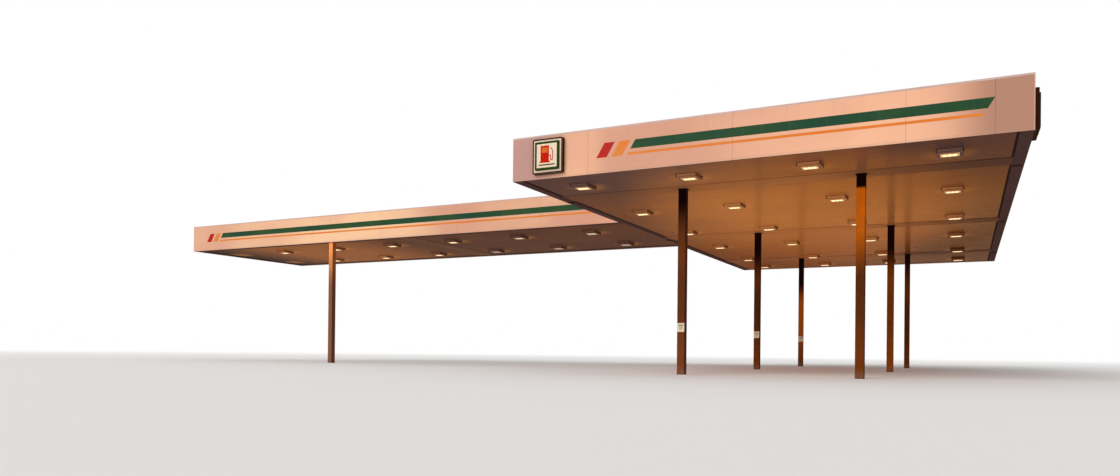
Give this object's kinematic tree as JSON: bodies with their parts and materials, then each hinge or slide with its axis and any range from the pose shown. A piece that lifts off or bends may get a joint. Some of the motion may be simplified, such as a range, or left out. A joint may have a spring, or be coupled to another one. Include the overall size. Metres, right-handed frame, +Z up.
{
  "type": "filling station canopy",
  "caption": "Flat steel-framed forecourt canopy on square columns, with a panel fascia, pan soffit, square lights under the soffit and a narrower link roof to one side.",
  "frame": {"origin": "centre of the foot of the front left column, on the ground", "axes": "+X to the right along the front, +Y to the back, +Z up"},
  "size_m": [35.85, 26.597, 6.641],
  "materials": {
    "column_paint": "dark brown satin paint",
    "notice_plate": "cream enamelled plate",
    "frame_steel": "grey primer",
    "soffit_paint": "gloss warm brown paint",
    "soffit_trim": "gloss brown paint",
    "bronze_trim": "dark bronze paint",
    "fascia_panel": "peach baked paint on composite panel",
    "fascia_cap": "pale peach baked paint",
    "sign_case": "dark brown gloss paint",
    "sign_face": "plain cream acrylic",
    "light_housing": "dark brown paint",
    "light_rim": "dark brown paint",
    "light_lens": "lit prismatic acrylic"
  },
  "bodies": {
    "root": {"column_front_left": "column_paint", "column_front_right": "column_paint", "column_middle_left": "column_paint", "column_middle_right": "column_paint", "column_back_left": "column_paint", "column_back_right": "column_paint", "column_link": "column_paint", "notice_plates": "notice_plate", "cross_beams": "frame_steel", "purlins": "frame_steel", "edge_tube_front": "frame_steel", "edge_tube_back": "frame_steel", "edge_tube_left": "frame_steel", "edge_tube_right": "frame_steel", "deck_pans": "soffit_paint", "deck_end_trims": "bronze_trim", "beam_strips": "soffit_trim", "gutter_left": "soffit_trim", "gutter_right": "soffit_trim", "gutter_brackets": "bronze_trim", "fascia_uprights": "frame_steel", "fascia_front": "fascia_panel", "fascia_right": "fascia_panel", "fascia_back": "fascia_panel", "fascia_left_front": "fascia_panel", "fascia_left_back": "fascia_panel", "fascia_caps": "fascia_cap", "link_girders": "frame_steel", "link_cross_purlins": "frame_steel", "link_end_tube": "frame_steel", "link_deck_pans": "soffit_paint", "link_edge_strips": "soffit_trim", "link_cross_strip": "soffit_trim", "link_gutter": "soffit_trim", "link_uprights": "frame_steel", "link_fascia_front": "fascia_panel", "link_fascia_back": "fascia_panel", "link_fascia_end": "fascia_panel", "link_caps": "fascia_cap", "sign_cabinets": "sign_case", "sign_faces": "sign_face", "sign_frames": "sign_case", "light_housings": "light_housing", "light_frames": "light_rim", "light_lenses": "light_lens"}
  },
  "joints": []
}
